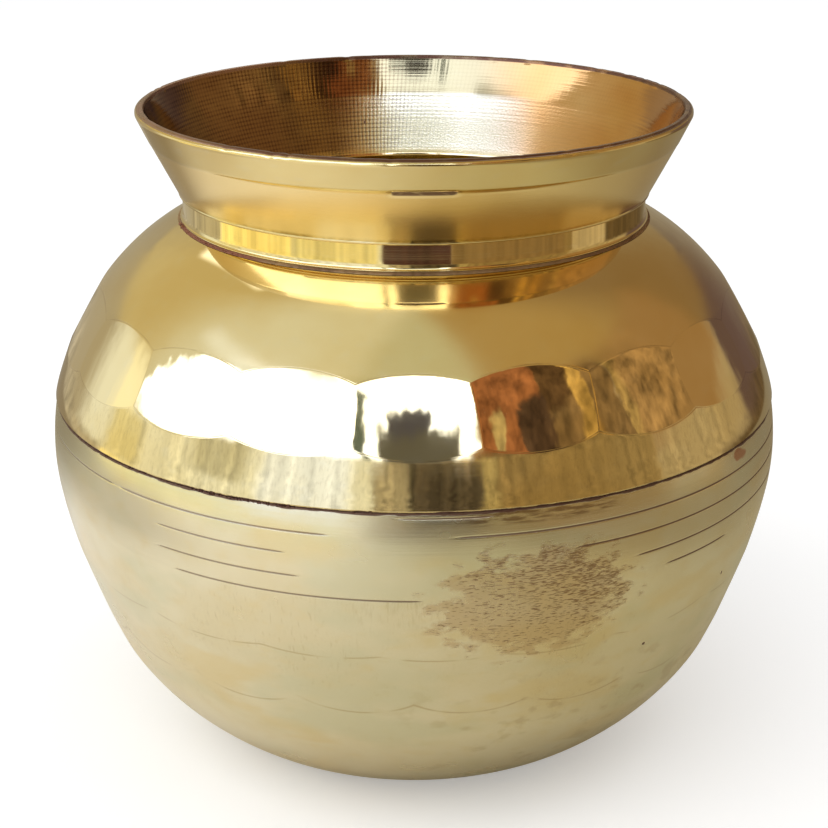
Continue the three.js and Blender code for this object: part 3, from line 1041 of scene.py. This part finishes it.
HIGH_THINGS = (
    ("window", -74, 17.5, 20.5, 44.5, 0.6, WINDOW),
    ("blind", -96, -34, 39, 44.5, 1.5, (1.1, 1.2, 1.4)),
    ("window_side", -112, -97, 8, 15, 2, (1.3, 1.3, 1.1)),
    ("brown_wall", 18, 76, 20, 44, 0.8, (0.25, 0.16, 0.08)),
    ("brown_far_wall", 78, 122, 9, 43, 2, (0.4, 0.25, 0.12)),
    ("red_curtain", 19, 46, 22, 44, 0.8, (0.4, 0.16, 0.07)),
    ("pale_fold", 18, 22, 22, 44, 0.8, (0.6, 0.4, 0.25)),
    ("dark_shelf", 46, 56, 33, 44, 0.6, (0.14, 0.08, 0.04)),
    ("dark_jars", 38, 47, 20, 36, 0.6, (0.1, 0.06, 0.04)),
    ("gold_jar", 30.5, 33.5, 31, 36, 0.5, (0.65, 0.5, 0.25)),
    ("gold_edge", 55, 59, 20, 44, 0.6, (0.7, 0.45, 0.15)),
    ("amber_board", 62, 67, 20, 44, 0.8, (0.5, 0.3, 0.1)),
    ("stand_top", -7, 4, 20, 38, 0.4, (0.1, 0.1, 0.15)),
    ("stand_side", -9, 12.5, 20, 35.9, 0.6, (0.15, 0.15, 0.15)),
    ("window_post", -16, -13.4, 20, 40, 0.4, (0.15, 0.2, 0.2)),
)
# A dark stand in front: a card near the pot shows it up to STAND_TOP degrees, and the room behind
# only up to STAND_FOOT, so that the pot's outside sees more of it than the inside of its neck does
OLIVE_PANEL = (-11.5, 0.0, (0.45, 0.4, 0.3, 1))
DARK_STAND = (-1.0, 20.0, (0.1, 0.08, 0.06, 1))
STAND_FOOT = 9
STAND_TOP = 19.5
CARD_AWAY = 0.5
CARD_ACROSS = (-0.115, 0.185)
CARD_HEIGHT = (0.125, 0.226)
# Left end of the window, which leans back by this many degrees for each degree up
WINDOW_END = (-117.4, -78.0)
WINDOW_LEAN = 1.18
CEILING_FAR_LEFT = (0.7, 0.6, 0.35, 1)
CEILING_LEFT = (0.85, 0.85, 0.75, 1)
CEILING_MIDDLE = (0.65, 0.65, 0.5, 1)
CEILING_RIGHT = (0.5, 0.35, 0.15, 1)
CEILING_FAR_RIGHT = (0.3, 0.2, 0.1, 1)
ROOM_BACK = (0.4, 0.35, 0.25, 1)
LAMP_BEHIND = (2.0, 2.0, 1.95, 1)
# The floor sheet as the metal mirrors it: lit on the left, with painted shade to the right and behind
SHEET_LEFT = (1, 0.98, 0.95, 1)
SHEET_RIGHT_SHADE = (0.6, 0.55, 0.4, 1)
SHEET_FAR_SHADE = (0.3, 0.25, 0.17, 1)
SHEET_RADIUS = 0.335
SHEET_SOFT = 0.015
PAPER = (0.86, 0.86, 0.86, 1)
WHITE = (1, 1, 1, 1)
POT_MIDDLE = (0, 0, 0.05)
ROOM_RADIUS = 1.6
FLOOR_REACH = 3.0
FLOOR_DROP = 0.0002
# Soft boxes: azimuth, elevation, distance, width, height, brightness
WINDOW_LIGHT = (-42, 48, 1.1, 1.4, 0.7, 1.6)
FILL_LIGHT = (110, 50, 1.2, 0.8, 0.8, 0.7)
CAMERA_LENS = 83.73
CAMERA_PLACE = (0, -0.29157, 0.1573)
CAMERA_AIM = (0, 0, 0.0512)


def surroundings_group():
    """Colour of the room in a direction from the pot."""
    inputs = {"Place": "Vector", "On Card": "Float"}
    tree, given, send = new_effect("surroundings", inputs, {"Colour": "Color"})
    aim = vector_calc("SUBTRACT", given["Place"], POT_MIDDLE)
    aim = result(tree, "ShaderNodeVectorMath", {0: aim}, operation="NORMALIZE")
    x, y, z = split(aim)

    # Nothing in the room has a quite straight edge
    sideways, upward, _ = split(texture(aim, "Color", Scale=24.0, Detail=4.0))
    azimuth = bearing(x, y) + (sideways - 0.5) * 6.5
    elevation = calc("DEGREES", calc("ARCSINE", z)) + (upward - 0.5) * 3.2

    def painted(colour, things):
        for _, start, end, low, high, soft, tone in things:
            inside = between(azimuth, start, end, soft) * between(elevation, low, high, soft)
            colour = blend(inside, colour, (*tone, 1))
        return colour

    colour = painted(ROOM_WALL, WALL_THINGS)
    top = remap(given["On Card"], 0.0, 1.0, STAND_FOOT, STAND_TOP)
    upright = remap(elevation - top, -0.6, 0.6, 1.0, 0.0) * remap(elevation, -6.0, -4.0)
    for start, end, tone in (OLIVE_PANEL, DARK_STAND):
        colour = blend(between(azimuth, start, end, 0.8) * upright, colour, tone)

    # Upright folds in what hangs low down, strongest in the dark middle
    sockets = {"W": azimuth, "Scale": 0.5, "Detail": 4.0, "Roughness": 0.62}
    folds = result(tree, "ShaderNodeTexNoise", sockets, output="Fac", noise_dimensions="1D")
    depth = 1.7 + between(azimuth, -14.0, 24.0, 1.5) * 4.2
    hung = between(elevation, -4.0, 20.5, 1.5) * between(azimuth, -108.0, 112.0, 4.0)
    swing = (folds - 0.5) * depth * hung
    colour = vector_calc("SCALE", colour, largest(1.0 + swing, 0.2))

    ceiling = blend(remap(azimuth, -34.0, -14.0), CEILING_LEFT, CEILING_MIDDLE)
    ceiling = blend(remap(azimuth, 20.0, 36.0), ceiling, CEILING_RIGHT)
    ceiling = blend(remap(azimuth, 84.0, 128.0), ceiling, CEILING_FAR_RIGHT)
    ceiling = blend(remap(azimuth, -88.0, -122.0), ceiling, CEILING_FAR_LEFT)
    at_side = calc("GREATER_THAN", calc("ABSOLUTE", azimuth), 76.0)
    above = largest(remap(elevation, 43.0, 46.0), at_side * remap(elevation, 12.0, 16.0))
    colour = blend(above, colour, ceiling)

    leaned = azimuth - elevation * WINDOW_LEAN
    corner = between(leaned, *WINDOW_END, 1.2) * between(elevation, 17.0, 44.5, 1.0)
    colour = painted(blend(corner, colour, (*WINDOW, 1)), HIGH_THINGS)
    mottle = texture(aim, Scale=19.0, Detail=5.0, Roughness=0.65)
    right_side = between(azimuth, 19.0, 100.0, 1.5) * between(elevation, 16.0, 42.0, 2.0)
    on_floor = remap(elevation, -4.0, -6.0) * 0.55
    uneven = 1.0 + (mottle - 0.5) * largest(right_side, on_floor) * 3.4
    colour = vector_calc("SCALE", colour, largest(uneven, 0.25))

    # The two ends of the room meet softly at the very back
    colour = blend(remap(calc("ABSOLUTE", azimuth), 138.0, 176.0), colour, ROOM_BACK)
    behind = remap(y, 0.25, 0.32) * between(x, -0.5, 0.35, 0.02) * between(elevation, 34.0, 58.0, 2.0)
    send("Colour", blend(behind, colour, LAMP_BEHIND))
    return tree


def towards(azimuth, elevation, distance):
    """Point at an azimuth from the front, growing to the right, and an elevation, in degrees."""
    a, e = math.radians(azimuth), math.radians(elevation)
    return Vector((math.sin(a) * math.cos(e), -math.cos(a) * math.cos(e), math.sin(e))) * distance


def soft_box(name, azimuth, elevation, distance, width, height, brightness):
    lamp = bpy.data.lights.new(name, "AREA")
    lamp.shape = "RECTANGLE"
    lamp.size, lamp.size_y = width, height
    lamp.energy = brightness * math.pi * width * height
    made = placed(name, lamp)
    made.location = towards(azimuth, elevation, distance) + Vector(POT_MIDDLE)
    made.rotation_euler = towards(azimuth, elevation, 1).to_track_quat("Z", "Y").to_euler()
    made.visible_glossy = False


def seen(tree, *rays):
    """1 for the rays named."""
    path = put(tree, "ShaderNodeLightPath").outputs
    return largest(*[Value(tree, path[ray]) for ray in rays])


def floor_paper():
    """White to the camera, with the pot's shadow; in the metal, a pale sheet with painted shade to the
    right and behind, in a toned room.
    """
    material, tree = new_material("floor_paper")
    place = result(tree, "ShaderNodeNewGeometry", output="Position")
    x, y, _ = split(place)
    in_metal = seen(tree, "Is Glossy Ray", "Is Transmission Ray")
    # Painted shade on the sheet, darker to the right, at the left back and behind the pot
    sheet = blend(remap(x, -0.09, 0.06), SHEET_LEFT, SHEET_RIGHT_SHADE)
    sheet = blend(remap(x, 0.07, 0.15, 0.0, 0.75), sheet, SHEET_FAR_SHADE)
    left_back_shade = remap(x, -0.09, -0.16, 0.0, 0.45) * remap(y, -0.12, -0.03)
    sheet = blend(left_back_shade, sheet, SHEET_FAR_SHADE)
    sheet = blend(remap(y, 0.03, 0.14, 0.0, 0.9), sheet, SHEET_FAR_SHADE)
    paper = result(tree, "ShaderNodeBsdfDiffuse", {"Color": blend(in_metal, PAPER, sheet)})
    lift = result(tree, "ShaderNodeEmission", {"Strength": seen(tree, "Is Camera Ray") * 0.3})
    both = result(tree, "ShaderNodeAddShader", {0: paper, 1: lift})
    beyond = remap(length(x, y), SHEET_RADIUS - SHEET_SOFT, SHEET_RADIUS + SHEET_SOFT) * in_metal
    room = result(tree, "ShaderNodeEmission", {"Color": use(tree, ROOM, Place=place)})
    shown = result(tree, "ShaderNodeMixShader", {0: beyond, 1: both, 2: room})
    put(tree, "ShaderNodeOutputMaterial", {"Surface": shown})
    return material


def only_mirrored(thing, on_card):
    """Makes a thing of the room that only the metal sees."""
    thing.visible_camera = False
    thing.visible_diffuse = False
    thing.visible_shadow = False
    material, tree = new_material(thing.name)
    place = result(tree, "ShaderNodeNewGeometry", output="Position")
    colour = use(tree, ROOM, **{"Place": place, "On Card": on_card})
    glow = result(tree, "ShaderNodeEmission", {"Color": colour})
    put(tree, "ShaderNodeOutputMaterial", {"Surface": glow})
    material.cycles.emission_sampling = "NONE"
    thing.data.materials.append(material)


def flat_sheet(name, corners):
    mesh = bpy.data.meshes.new(name)
    mesh.from_pydata(corners, [], [(0, 1, 2, 3)])
    return placed(name, mesh)


def toned_room():
    """Dome round the pot, and the card in front of it."""
    bpy.ops.mesh.primitive_uv_sphere_add(segments=64, ring_count=32, radius=ROOM_RADIUS)
    dome = bpy.context.active_object
    dome.name = "toned_room"
    only_mirrored(dome, 0.0)
    (left, right), (low, high) = CARD_ACROSS, CARD_HEIGHT
    corners = [(x, -CARD_AWAY, z) for x, z in ((left, high), (right, high), (right, low), (left, low))]
    only_mirrored(flat_sheet("stand_card", corners), 1.0)


def studio():
    world = bpy.data.worlds.new("studio")
    bpy.context.scene.world = world
    tree = plain_tree(world)
    room = result(tree, "ShaderNodeBackground", {"Color": WHITE, "Strength": 0.7})
    white = result(tree, "ShaderNodeBackground", {"Color": WHITE, "Strength": 1.0})
    background = seen(tree, "Is Camera Ray", "Is Glossy Ray", "Is Transmission Ray")
    mixed = result(tree, "ShaderNodeMixShader", {0: background, 1: room, 2: white})
    put(tree, "ShaderNodeOutputWorld", {"Surface": mixed})

    side = FLOOR_REACH
    floor = flat_sheet("floor", [(-side, -side, 0), (side, -side, 0), (side, side, 0), (-side, side, 0)])
    floor.location.z = -FLOOR_DROP
    floor.data.materials.append(floor_paper())
    toned_room()
    soft_box("window_light", *WINDOW_LIGHT)
    soft_box("fill_light", *FILL_LIGHT)


def camera():
    lens = bpy.data.cameras.new("camera")
    lens.sensor_width = 36
    lens.lens = CAMERA_LENS
    lens.clip_start = 0.01
    made = placed("camera", lens)
    made.location = CAMERA_PLACE
    made.rotation_mode = "QUATERNION"
    made.rotation_quaternion = (made.location - Vector(CAMERA_AIM)).to_track_quat("Z", "Y")
    bpy.context.scene.camera = made


def dress(piece, node):
    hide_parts(node)
    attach(piece, "root")


HAMMER = hammer_rule()
RING = ring_rule()
CRUST = crust_rule()
PLACE = place_group()
GRAIN = grain_group()
PITS = pits_group()
DASHES = dashes_group()
ROOM = surroundings_group()

braze = braze_metal()
dress(lower_shell(satin_brass()), "lower_shell")
dress(upper_shell(polished_brass()), "upper_shell")
dress(neck_collar(turned_brass()), "neck_collar")
dress(neck_filler(braze), "neck_braze")
dress(belly_filler(braze), "belly_braze")

camera()
studio()
bpy.context.scene.view_settings.view_transform = "Standard"
